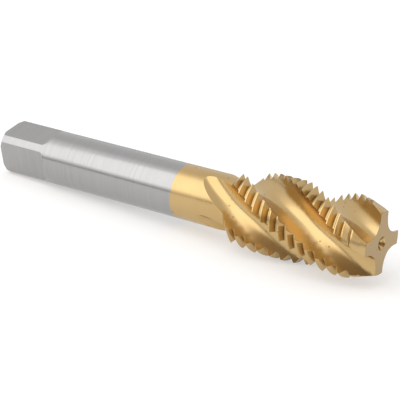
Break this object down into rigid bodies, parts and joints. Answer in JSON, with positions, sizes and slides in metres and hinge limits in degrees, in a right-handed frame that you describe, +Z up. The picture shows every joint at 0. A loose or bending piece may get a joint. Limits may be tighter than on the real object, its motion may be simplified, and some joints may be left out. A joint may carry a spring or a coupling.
{
  "type": "thread tap",
  "caption": "Spiral-flute machine tap with a plain ground shank, a square drive end and a coated, hooked cutting thread that tapers at the tip.",
  "frame": {"origin": "on the tool's axis, in the plane of the drive-end face", "axes": "+X along the axis from the drive end to the cutting tip. +Z is up as the tap lies on a table, where it rolls until two lands carry it and the flats of the drive square stand 14 degrees off Y and Z"},
  "size_m": [0.112, 0.02, 0.02],
  "materials": {
    "tool_steel": "ground and polished high-speed steel, with a golden titanium nitride coating on the front half"
  },
  "bodies": {
    "root": {"thread_tap": "tool_steel"}
  },
  "joints": []
}
